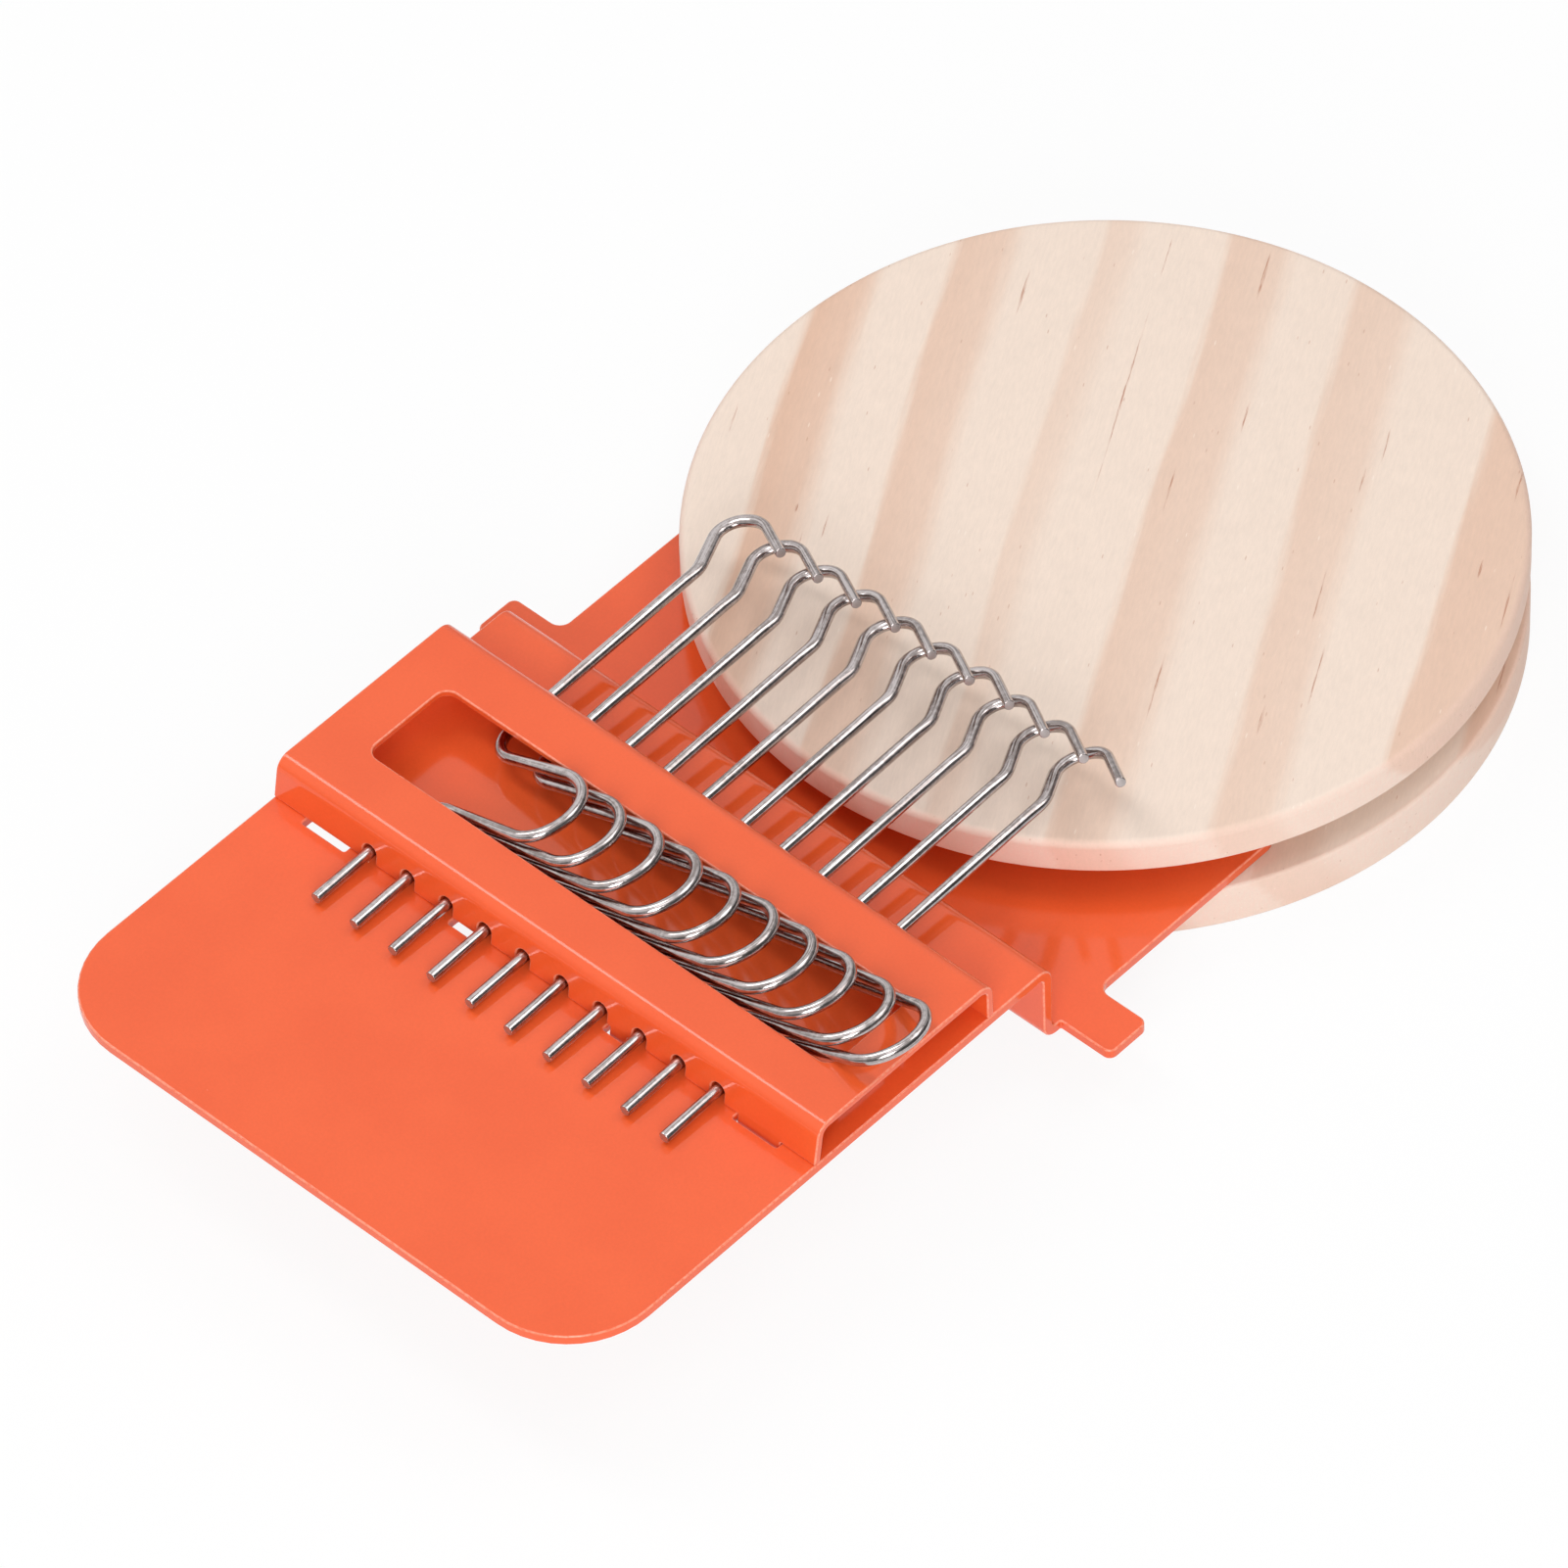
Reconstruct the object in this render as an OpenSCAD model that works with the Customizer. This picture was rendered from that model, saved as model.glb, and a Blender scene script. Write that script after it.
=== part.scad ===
// Small hand loom for darning: a grooved wooden disc, a bent sheet-metal frame that
// grips the groove, and ten wire hooks that flip from side to side on their own shanks.
// The origin is the centre of the disc's underside, +Z is up and the frame lies towards -Y.

/* [Disc] */
// Radius of the wooden disc
disc_radius = 41.4; // [38:0.1:60]
// Thickness of the flange under the groove
lower_flange = 5.2; // [3:0.1:10]
// Thickness of the flange over the groove
upper_flange = 4; // [2.5:0.1:8]
// Width of the groove between the flanges
groove_width = 4.3; // [2.5:0.1:6]
// Depth of the groove from the rim to its core
groove_depth = 7.4; // [4:0.1:10]
// Rounding of the rim's upper edge
rim_rounding = 0.8; // [0.3:0.1:1.5]
// Rounding of the disc's other edges
edge_rounding = 0.4; // [0.2:0.1:0.8]

/* [Base plate] */
// Width of the plate
plate_width = 70; // [64:0.2:78]
// Thickness of the plate's sheet metal
sheet_thickness = 1.2; // [0.8:0.1:1.5]
// Length of the plate in front of the bridge
apron_length = 32.75; // [20:0.25:60]
// Radius of the plate's front corners
apron_corner = 10; // [2:0.5:20]
// Distance from the bridge's front to the back of the step
step_distance = 33.2; // [31:0.1:35]
// Height of the step down to the part that enters the groove
step_height = 9; // [5:0.1:14]
// Inner radius of the bends of the step
step_bend = 0.6; // [0.3:0.1:1.2]
// How far the ends of the ears stay inside the disc's edge
ear_margin = 0.1; // [0:0.1:2]
// Distance from the back of the step to the ears
ear_gap = 1.1; // [0.8:0.1:1.5]
// Depth of the ears
ear_depth = 5.4; // [4:0.1:7]
// Radius of the ears' outer corners
ear_corner = 0.9; // [0.3:0.1:1.8]
// Radius of the fillet behind each ear
ear_fillet = 1.3; // [0.3:0.1:2.5]
// Distance from the bridge's front to the centre of the disc
disc_distance = 80; // [78:0.5:100]
// How far the two prongs reach along the disc, from the bridge's front
prong_end = 66; // [60:0.5:72]
// Radius of the prongs' outer corners
prong_corner = 2; // [0.5:0.1:3]

/* [Bridge] */
// Thickness of the bridge's sheet metal
bridge_thickness = 0.8; // [0.6:0.1:1.2]
// Height of the bridge over the plate
bridge_height = 4.8; // [4.2:0.1:6]
// Depth of the bridge at its foot
bridge_depth = 25; // [22:0.1:28]
// How far the front wall leans back over its height
front_lean_depth = 0.8; // [0:0.1:1.5]
// Outer radius of the bridge's two bends
bridge_bend = 1.7; // [1.4:0.1:2.2]
// Room in the window to the left of the first hook's shank
window_left = 6.7; // [5:0.1:9]
// Room in the window to the right of the last hook's shank
window_right = 8; // [6:0.1:9]
// Gap between the window's front edge and the cranks
window_front_gap = 0.7; // [0.4:0.1:2]
// Gap between the window's rear edge and the cranks
window_rear_gap = 0.35; // [0.3:0.05:1.5]
// Radius of the window's corners
window_corner = 1.4; // [0.5:0.1:3]
// Length of each outer slot that takes a tab of the bridge
outer_slot = 5.6; // [3:0.1:8]
// Length of each inner slot that takes a tab of the bridge
inner_slot = 3; // [2:0.1:5]
// Distance from the middle to the centre of each outer slot
outer_slot_place = 27.9; // [24:0.1:30]
// Distance from the middle to the centre of each inner slot
inner_slot_place = 10; // [7:0.1:14]
// How far the slots show outside the bridge's walls
slot_margin = 0.6; // [0.2:0.1:1]
// Gap around each tab in its slot
tab_gap = 0.1; // [0.05:0.05:0.3]

/* [Hooks] */
// Diameter of the wire
wire_diameter = 1.2; // [0.8:0.05:1.4]
// Distance from one shank to the next
hook_spacing = 5; // [4.7:0.1:5.4]
// Height of the shanks over the plate at the bridge's front
shank_height = 1.14; // [1:0.02:1.4]
// Slope of the shanks towards the disc, in degrees
shank_slope = 2.3; // [0:0.1:4]
// Length of the tails in front of the bridge
tail_length = 7.2; // [3:0.1:12]
// Radial clearance of the shanks in the rear wall
pivot_gap = 0.08; // [0.05:0.01:0.1]
// Radial clearance of the shanks under the arches of the front wall
arch_gap = 0.25; // [0.2:0.05:0.5]
// Distance from the bridge's front to the cranks' front legs
crank_front = 8.4; // [8:0.1:10]
// Radius of the round end of the cranks
crank_radius = 4.4; // [3.5:0.1:4.8]
// Reach of the cranks from their shanks
crank_reach = 15.5; // [12:0.1:17]
// Radius of the small bends between crank and shank
crank_bend = 2.2; // [1:0.1:2.4]
// Slant of the cranks' rear legs, in degrees
crank_slant = 2.5; // [0:0.5:6]
// Distance from the bridge's front to the start of the hook's curve
hook_start = 45.4; // [40:0.1:50]
// Radius of the bend that turns aside from the shank
kink_radius = 3.5; // [2:0.1:7]
// Angle of that bend, in degrees
kink_angle = 28; // [20:1:50]
// Straight length between that bend and the hook's round end
kink_length = 3.8; // [0.5:0.1:5]
// Radius of the hook's round end
crook_radius = 2.7; // [2:0.1:4]
// Direction of the hook's tip, in degrees from the shank
tip_direction = 122; // [100:1:150]
// Straight length of the hook's tip
tip_length = 5.1; // [2:0.1:7]
// Chamfer of the wire's ends
end_chamfer = 0.12; // [0.05:0.01:0.2]
// Gap between the last crank and the window's edge that it leans on
rest_gap = 0.08; // [0.05:0.01:0.3]
// How much flatter the crank next to the last one lies, in degrees
first_lean_step = 3.3; // [2:0.1:3.8]
// How much flatter each further crank lies, in degrees
lean_step = 0.53; // [0:0.01:0.7]

/* [Fits] */
// Gap between the groove's core and the plate's curved rear edge
seat_gap = 0.3; // [0.1:0.05:0.6]
// Gap between the lower flange and the plate that rests on it
rest_height_gap = 0.1; // [0.05:0.05:0.3]

/* [Hidden] */
NODES = [
    "darning_disc", "base_plate", "hook_bridge",
    "hook_01", "hook_02", "hook_03", "hook_04", "hook_05",
    "hook_06", "hook_07", "hook_08", "hook_09", "hook_10"
];
$fn = 64;
disc_segments = 128;
wire_segments = 48;
hook_count = 10;
first_hook_node = len(NODES) - hook_count;
wood_colour = "#f0d9c2";
coat_colour = "#f26a44";
wire_colour = "#9a9290";

// Over-run of a cutting shape past the surface that it cuts
overcut = 1;

// Heights of the disc
groove_floor = lower_flange;
groove_roof = lower_flange + groove_width;
disc_top = groove_roof + upper_flange;
core_radius = disc_radius - groove_depth;

// A bend is a hair thinner than the straight wire, which holds its two ends
bend_thinning = 0.01;
bend_diameter = wire_diameter - 2 * bend_thinning;
joint_overlap = 0.1;

// Height of the front plate's upper face, which the bridge stands on
plate_top = lower_flange + rest_height_gap + sheet_thickness + step_height;

// Outer radius and centre line of the step's bends
step_outer = step_bend + sheet_thickness;
upper_bend_y = step_distance - step_outer;
lower_bend_y = step_distance + step_bend;

// Ears, whose ends keep to the width of the disc
ear_front = step_distance + ear_gap;
ear_rear = ear_front + ear_depth;
ear_end = disc_radius - ear_margin;

// Where the apron's round corners end and its full width starts
apron_middle = apron_corner - apron_length;

// Bridge outline
lean_angle = atan(front_lean_depth / bridge_height);
inner_bend = bridge_bend - bridge_thickness;
front_bend_y = (bridge_bend + (bridge_height - bridge_bend) * sin(lean_angle)) / cos(lean_angle);
rear_bend_y = bridge_depth - bridge_bend;
bend_z = bridge_height - bridge_bend;

// Window in the bridge's roof
first_hook_x = -hook_spacing * (hook_count - 1) / 2;
last_hook_x = -first_hook_x;
window_x = [first_hook_x - window_left, last_hook_x + window_right];
window_y = [
    crank_front - wire_diameter / 2 - window_front_gap,
    crank_front + 2 * crank_radius + wire_diameter / 2 + window_rear_gap
];

// The last crank leans on the window's right edge, and each crank before it lies flatter
edge_rise = bridge_height - shank_height - crank_front * tan(shank_slope);
edge_distance = sqrt(edge_rise * edge_rise + window_right * window_right);
last_lean = atan2(edge_rise, window_right) + asin((wire_diameter / 2 + rest_gap) / edge_distance);
function lean(i) =
    i == hook_count ? last_lean : last_lean - first_lean_step - lean_step * (hook_count - 1 - i);

// Legs of the crank, from the sizes that are set
crank_centre = crank_reach - crank_radius;
front_leg = crank_centre - crank_bend;
rear_leg = (crank_centre - crank_radius * sin(crank_slant)
            - crank_bend * (1 + sin(crank_slant))) / cos(crank_slant);
crank_rear = crank_front + crank_radius
             + (crank_radius + crank_bend) * cos(crank_slant) - rear_leg * sin(crank_slant);

// The bent wire from tail to tip: straight length, bend radius, bend angle.
// A positive angle turns towards the side that the crank leans to.
wire_steps = [
    [tail_length + crank_front - crank_bend, crank_bend, 90],
    [front_leg, crank_radius, -180 - crank_slant],
    [rear_leg, crank_bend, 90 + crank_slant],
    [hook_start - crank_rear, kink_radius, -kink_angle],
    [kink_length, crook_radius, kink_angle + tip_direction],
    [tip_length, 0, 0]
];

// The tab slots: their depth, then each one's centre from the middle and its length
slot_depth = slot_margin + bridge_thickness + tab_gap;
slots = [
    [-outer_slot_place, outer_slot], [-inner_slot_place, inner_slot],
    [inner_slot_place, inner_slot], [outer_slot_place, outer_slot]
];

// Extrudes a side view, drawn as (distance back, height), across the given width
module across(width) {
    translate([-width / 2, 0, 0])
        rotate([90, 0, 90])
            linear_extrude(height = width) children();
}

// Places what is drawn from the foot of the bridge's front wall
module on_plate() {
    translate([0, -disc_distance, plate_top]) children();
}

// A rectangle between two corners with round corners
module rounded_rectangle(low, high, radius) {
    translate([low.x + radius, low.y]) square([high.x - low.x - 2 * radius, high.y - low.y]);
    translate([low.x, low.y + radius]) square([high.x - low.x, high.y - low.y - 2 * radius]);
    for (x = [low.x + radius, high.x - radius], y = [low.y + radius, high.y - radius])
        translate([x, y]) circle(r = radius);
}

// A quarter of a bent sheet, from the direction `start` on, in degrees
module sheet_bend(inner, start) {
    outer = inner + sheet_thickness;
    rotate([0, 0, start])
        intersection() {
            difference() {
                circle(r = outer);
                circle(r = inner);
            }
            square([outer, outer]);
        }
}

// Half of the disc's section, to be turned about its axis
module disc_section() {
    difference() {
        square([disc_radius, disc_top]);
        translate([core_radius, groove_floor]) square([groove_depth + overcut, groove_width]);
        edge_cut(disc_top, rim_rounding, 1);
        edge_cut(groove_roof, edge_rounding, -1);
        edge_cut(groove_floor, edge_rounding, 1);
        edge_cut(0, edge_rounding, -1);
    }
}

// What a rounding takes off the rim's edge at the given height, above it or below it
module edge_cut(height, radius, side) {
    translate([disc_radius - radius, height - side * radius])
        difference() {
            translate([0, side > 0 ? 0 : -radius]) square([radius + overcut, radius]);
            circle(r = radius);
        }
}

module darning_disc() {
    color(wood_colour) rotate_extrude($fn = disc_segments) disc_section();
}

// Side view of the plate, with its step down to the groove
module plate_section() {
    translate([-apron_length, -sheet_thickness]) square([apron_length + upper_bend_y, sheet_thickness]);
    translate([upper_bend_y, -step_outer]) sheet_bend(step_bend, 0);
    translate([step_distance - sheet_thickness, -step_height + step_bend])
        square([sheet_thickness, step_height - step_outer - step_bend]);
    translate([lower_bend_y, -step_height + step_bend]) sheet_bend(step_bend, 180);
    translate([lower_bend_y, -step_height - sheet_thickness])
        square([prong_end - lower_bend_y, sheet_thickness]);
}

// Plan of the plate: apron, ears and the two prongs beside the curved rear edge
module plate_plan() {
    half = plate_width / 2;
    difference() {
        union() {
            apron_plan(half);
            translate([-half, apron_middle]) square([plate_width, prong_end - apron_middle]);
            rounded_rectangle([-ear_end, ear_front], [ear_end, ear_rear], ear_corner);
            for (side = [-1, 1]) ear_fillet_plan(side, half);
        }
        for (side = [-1, 1]) prong_corner_cut(side, half);
        translate([0, disc_distance]) circle(r = core_radius + seat_gap, $fn = disc_segments);
        for (slot = slots, y = [-slot_margin, bridge_depth + slot_margin - slot_depth])
            translate([slot[0] - slot[1] / 2, y]) square([slot[1], slot_depth]);
    }
}

module apron_plan(half) {
    translate([-half + apron_corner, -apron_length])
        square([plate_width - 2 * apron_corner, apron_corner]);
    for (side = [-1, 1])
        translate([side * (half - apron_corner), apron_middle]) circle(r = apron_corner);
}

// Fills the inner corner behind an ear up to a round fillet
module ear_fillet_plan(side, half) {
    mirror([side < 0 ? 1 : 0, 0])
        translate([half, ear_rear])
            difference() {
                square([ear_fillet, ear_fillet]);
                translate([ear_fillet, ear_fillet]) circle(r = ear_fillet);
            }
}

// Takes the outer corner off a prong's end
module prong_corner_cut(side, half) {
    mirror([side < 0 ? 1 : 0, 0])
        translate([half - prong_corner, prong_end - prong_corner])
            difference() {
                square([prong_corner + overcut, prong_corner + overcut]);
                circle(r = prong_corner);
            }
}

module base_plate() {
    color(coat_colour)
        on_plate()
            intersection() {
                across(2 * (ear_end + overcut)) plate_section();
                translate([0, 0, -step_height - sheet_thickness - overcut])
                    linear_extrude(height = step_height + sheet_thickness + 2 * overcut) plate_plan();
            }
}

// Side view of the bridge: leaning front wall, roof and upright rear wall
module bridge_section() {
    foot = bridge_bend * sin(lean_angle);
    difference() {
        polygon([
            [0, 0],
            [front_bend_y - bridge_bend * cos(lean_angle), bend_z + foot],
            [front_bend_y, bridge_height],
            [rear_bend_y, bridge_height],
            [bridge_depth, bend_z],
            [bridge_depth, 0]
        ]);
        bridge_hollow();
    }
    translate([front_bend_y, bend_z]) bend_cap(180 - lean_angle, 90);
    translate([rear_bend_y, bend_z]) bend_cap(90, 0);
}

// The space inside the bridge, with its round inner corners
module bridge_hollow() {
    inner_front = bridge_thickness / cos(lean_angle);
    rise = inner_bend * sin(lean_angle);
    polygon([
        [inner_front - overcut * tan(lean_angle), -overcut],
        [front_bend_y - inner_bend * cos(lean_angle), bend_z + rise],
        [front_bend_y, bend_z],
        [front_bend_y, bridge_height - bridge_thickness],
        [rear_bend_y, bridge_height - bridge_thickness],
        [rear_bend_y, bend_z],
        [bridge_depth - bridge_thickness, bend_z],
        [bridge_depth - bridge_thickness, -overcut]
    ]);
    translate([front_bend_y, bend_z]) circle(r = inner_bend);
    translate([rear_bend_y, bend_z]) circle(r = inner_bend);
}

// The round outside of a bend, between the directions `from` and `to`, in degrees
module bend_cap(from, to) {
    reach = bridge_bend + overcut;
    first = reach * [cos(from), sin(from)];
    last = reach * [cos(to), sin(to)];
    difference() {
        intersection() {
            circle(r = bridge_bend);
            polygon([[0, 0], first, first + last, last]);
        }
        circle(r = inner_bend);
    }
}

// The axis along which hook number i turns, from the bridge's front towards the disc
module along_shank(i) {
    translate([first_hook_x + (i - 1) * hook_spacing, 0, shank_height])
        rotate([shank_slope, 0, 0]) children();
}

// The arch in the front wall over one shank
module arch_cut() {
    arch_radius = wire_diameter / 2 + arch_gap;
    wall_depth = bridge_thickness / cos(lean_angle) + front_lean_depth;
    arch_depth = wall_depth + 2 * overcut;
    translate([0, wall_depth + overcut, 0]) rotate([90, 0, 0]) cylinder(r = arch_radius, h = arch_depth);
    translate([-arch_radius, -overcut, -shank_height - overcut])
        cube([2 * arch_radius, arch_depth, shank_height + overcut]);
}

// A tab of the bridge in one of the plate's slots. The two left slots at the front have none.
module tab(slot, y) {
    translate([slot[0] - slot[1] / 2 + tab_gap, y, -sheet_thickness])
        cube([slot[1] - 2 * tab_gap, bridge_thickness, sheet_thickness]);
}

module hook_bridge() {
    pivot_radius = wire_diameter / 2 + pivot_gap;
    pivot_depth = bridge_thickness + 2 * overcut;
    color(coat_colour)
        on_plate() {
            difference() {
                across(plate_width) bridge_section();
                translate([0, 0, bridge_height - bridge_thickness - overcut])
                    linear_extrude(height = bridge_thickness + 2 * overcut)
                        rounded_rectangle([window_x[0], window_y[0]], [window_x[1], window_y[1]],
                                          window_corner);
                for (i = [1 : hook_count]) {
                    translate([first_hook_x + (i - 1) * hook_spacing, 0, shank_height]) arch_cut();
                    along_shank(i)
                        translate([0, bridge_depth - bridge_thickness - overcut, 0])
                            rotate([-90, 0, 0]) cylinder(r = pivot_radius, h = pivot_depth);
                }
            }
            for (slot = slots) tab(slot, bridge_depth - bridge_thickness);
            for (k = [len(slots) / 2 : len(slots) - 1]) tab(slots[k], 0);
        }
}

// A wire that follows the steps from number `index` on, starting along +Y
module bent_wire(steps, index = 0) {
    length = steps[index][0];
    radius = steps[index][1];
    angle = steps[index][2];
    side = sign(angle);
    rotate([-90, 0, 0]) cylinder(d = wire_diameter, h = length);
    if (index < len(steps) - 1) {
        translate([side * radius, length, 0]) wire_bend(radius, angle);
        translate([side * radius * (1 - cos(angle)), length + radius * sin(abs(angle)), 0])
            rotate([0, 0, -angle]) bent_wire(steps, index + 1);
    } else {
        translate([0, length, 0]) rotate([-90, 0, 0]) wire_end();
    }
}

// One bend about the origin. Its ends run on into the straight wire on each side.
module wire_bend(radius, angle) {
    run_on = asin(joint_overlap / radius);
    rotate([0, 0, (angle > 0 ? 180 - angle : 0) - run_on])
        rotate_extrude(angle = abs(angle) + 2 * run_on)
            translate([radius, 0]) circle(d = bend_diameter, $fn = wire_segments);
}

// The chamfered end of the wire, which starts inside it
module wire_end() {
    root = end_chamfer / 2;
    translate([0, 0, -root])
        cylinder(d1 = bend_diameter, d2 = wire_diameter - 2 * end_chamfer, h = root + end_chamfer);
}

module hook(i) {
    color(wire_colour)
        on_plate()
            along_shank(i)
                rotate([0, -lean(i), 0])
                    translate([0, -tail_length, 0]) {
                        rotate([90, 0, 0]) wire_end();
                        bent_wire(wire_steps);
                    }
}

darning_disc();
base_plate();
hook_bridge();
for (i = [1 : hook_count])
    hook(i);
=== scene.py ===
import math

import bpy
import numpy as np
from mathutils import Matrix, Vector
from mathutils.geometry import delaunay_2d_cdt


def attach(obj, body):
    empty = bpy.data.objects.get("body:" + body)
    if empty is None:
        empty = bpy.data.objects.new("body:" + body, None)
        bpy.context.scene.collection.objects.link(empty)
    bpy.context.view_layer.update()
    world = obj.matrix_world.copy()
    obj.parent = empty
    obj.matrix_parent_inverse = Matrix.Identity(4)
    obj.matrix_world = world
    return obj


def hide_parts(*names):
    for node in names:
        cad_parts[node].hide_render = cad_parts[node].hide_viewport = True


# A small darning loom: a grooved wooden disc, an orange sheet-metal frame and ten flip hooks.
# Shapes are worked out in millimetres and become metres when their mesh is made.

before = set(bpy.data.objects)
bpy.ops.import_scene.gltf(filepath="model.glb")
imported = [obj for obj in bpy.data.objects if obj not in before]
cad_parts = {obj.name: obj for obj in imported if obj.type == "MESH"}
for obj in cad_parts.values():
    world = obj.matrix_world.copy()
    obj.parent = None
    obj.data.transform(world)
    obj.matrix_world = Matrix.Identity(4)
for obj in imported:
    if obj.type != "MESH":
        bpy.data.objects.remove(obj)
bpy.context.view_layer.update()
scene = bpy.context.scene
scene.view_settings.view_transform = "Standard"
print("loom: the packed model is loaded")

millimetre = 0.001
loom = {
    "discDistance": 80.0,       # from the foot of the bridge to the middle of the disc
    "plateTop": 15.5,           # height of the front plate's upper face
    "hookSpacing": 5.0,
    "hookCount": 10,
    "shankHeight": 1.14,        # over the plate, at the bridge's front
    "shankSlope": 2.3,          # degrees, rising towards the disc
    "wireRadius": 0.6,
}
bridgeFoot = np.array([0.0, -loom["discDistance"], loom["plateTop"]])
hookPlaces = loom["hookSpacing"] * (np.arange(loom["hookCount"]) - (loom["hookCount"] - 1) / 2)


# Paths, outlines and meshes


def followPath(steps, start, heading, distance):
    # Place and heading after each distance along straights and bends. On a straight the place is
    # start + distance * (cos h, sin h). In a bend of curvature c the heading grows by c * distance
    # to h2, and the place is start + (sin h2 - sin h, cos h - cos h2) / c.
    distance = np.asarray(distance, float)
    place = np.zeros((len(distance), 2))
    direction = np.zeros(len(distance))
    at, gone = np.array(start, float), 0.0
    for length, radius, angle in steps:
        bendLength = radius * abs(angle)
        curvature = math.copysign(1 / radius, angle) if bendLength else 0.0
        here = distance >= gone - 1e-9
        place[here] = at + (distance[here] - gone)[:, None] * [math.cos(heading), math.sin(heading)]
        direction[here] = heading
        at = at + length * np.array([math.cos(heading), math.sin(heading)])
        gone += length
        if bendLength:
            here = distance > gone
            turned = heading + curvature * (distance[here] - gone)
            place[here] = at + np.stack([np.sin(turned) - math.sin(heading),
                                         math.cos(heading) - np.cos(turned)], 1) / curvature
            direction[here] = turned
            at = at + np.array([math.sin(heading + angle) - math.sin(heading),
                                math.cos(heading) - math.cos(heading + angle)]) / curvature
            heading += angle
            gone += bendLength
    return place, direction


def pathStations(steps, straightSpacing, bendAngle):
    # Distances along the path, close together in its bends and wide apart on its straights.
    stations, gone = [np.zeros(1)], 0.0
    for length, radius, angle in steps:
        pieces = max(1, int(np.ceil(length / straightSpacing)))
        stations.append(gone + length * np.arange(1, pieces + 1) / pieces)
        gone += length
        if angle:
            pieces = int(np.ceil(abs(angle) / bendAngle))
            stations.append(gone + radius * abs(angle) * np.arange(1, pieces + 1) / pieces)
            gone += radius * abs(angle)
    return np.unique(np.round(np.concatenate(stations), 7))


def roundCorners(corners, radii, samples=7):
    # Each corner gives way to an arc that touches both of its sides. The arc's centre lies at
    # radius / sin(half the corner's angle) from the corner, on its bisector.
    corners = np.asarray(corners, float)
    radii = np.broadcast_to(np.asarray(radii, float), len(corners))[:, None]
    back = np.roll(corners, 1, 0) - corners
    ahead = np.roll(corners, -1, 0) - corners
    back /= np.linalg.norm(back, axis=1, keepdims=True)
    ahead /= np.linalg.norm(ahead, axis=1, keepdims=True)
    halfAngle = np.arccos(np.clip((back * ahead).sum(1, keepdims=True), -1, 1)) / 2
    reach = radii / np.tan(halfAngle)
    bisector = back + ahead
    bisector /= np.maximum(np.linalg.norm(bisector, axis=1, keepdims=True), 1e-9)
    centre = corners + bisector * radii / np.sin(halfAngle)
    first = corners + back * reach - centre
    last = corners + ahead * reach - centre
    share = np.linspace(0, 1, samples)[None, :, None]
    opening = (np.pi - 2 * halfAngle)[:, None]
    safe = np.maximum(np.sin(opening), 1e-9)
    arc = (np.sin((1 - share) * opening) * first[:, None] + np.sin(share * opening) * last[:, None]) / safe
    loop = (centre[:, None] + arc).reshape(-1, 2)
    step = np.linalg.norm(loop - np.roll(loop, 1, 0), axis=1)
    return loop[step > 1e-6]


def gridQuads(rows, columns):
    # Faces of a grid whose columns close on themselves.
    i, j = np.meshgrid(np.arange(rows - 1), np.arange(columns), indexing="ij")
    k = (j + 1) % columns
    return np.stack([i * columns + j, i * columns + k, (i + 1) * columns + k, (i + 1) * columns + j],
                    -1).reshape(-1, 4)


def makePiece(name, points, normals, quads, triangles, material):
    # Mesh from arrays. The signed volume, a sum of corner . (corner x corner), says which way
    # the faces point, and they are turned round where it is negative.
    a, b, c = points[triangles[:, 0]], points[triangles[:, 1]], points[triangles[:, 2]]
    volume = (a * np.cross(b, c)).sum()
    for p, q, r in ((0, 1, 2), (0, 2, 3)):
        volume += (points[quads[:, p]] * np.cross(points[quads[:, q]], points[quads[:, r]])).sum()
    if volume < 0:
        quads, triangles = quads[:, ::-1], triangles[:, ::-1]
    mesh = bpy.data.meshes.new(name)
    mesh.from_pydata((points * millimetre).tolist(), [], quads.tolist() + triangles.tolist())
    mesh.shade_smooth()
    mesh.normals_split_custom_set_from_vertices(normals.tolist())
    mesh.materials.append(material)
    piece = bpy.data.objects.new(name, mesh)
    scene.collection.objects.link(piece)
    return piece


# Node helpers


def addNode(tree, kind, inputs=None, **settings):
    # Adds a node, sets its options and fills its inputs with values or other nodes' outputs.
    node = tree.nodes.new(kind)
    for key, value in settings.items():
        setattr(node, key, value)
    for key, value in (inputs or {}).items():
        socket = node.inputs[key]
        if isinstance(value, bpy.types.NodeSocket):
            tree.links.new(value, socket)
        else:
            socket.default_value = value
    return node


def mathNode(tree, operation, first, second=0.0):
    return addNode(tree, "ShaderNodeMath", {0: first, 1: second}, operation=operation).outputs[0]


def vectorNode(tree, operation, first, second=(0, 0, 0)):
    node = addNode(tree, "ShaderNodeVectorMath", {0: first, 1: second}, operation=operation)
    return node.outputs["Value" if operation in ("DOT_PRODUCT", "LENGTH") else "Vector"]


def smoothRange(tree, value, low, high, toLow=0.0, toHigh=1.0):
    return addNode(tree, "ShaderNodeMapRange",
                   {"Value": value, "From Min": low, "From Max": high, "To Min": toLow, "To Max": toHigh},
                   interpolation_type="SMOOTHSTEP").outputs["Result"]


def plainRange(tree, value, low, high, toLow=0.0, toHigh=1.0):
    return addNode(tree, "ShaderNodeMapRange",
                   {"Value": value, "From Min": low, "From Max": high, "To Min": toLow, "To Max": toHigh}
                   ).outputs["Result"]


def mixColours(tree, share, first, second):
    return addNode(tree, "ShaderNodeMix", {"Factor": share, 6: first, 7: second},
                   data_type="RGBA").outputs[2]


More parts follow.
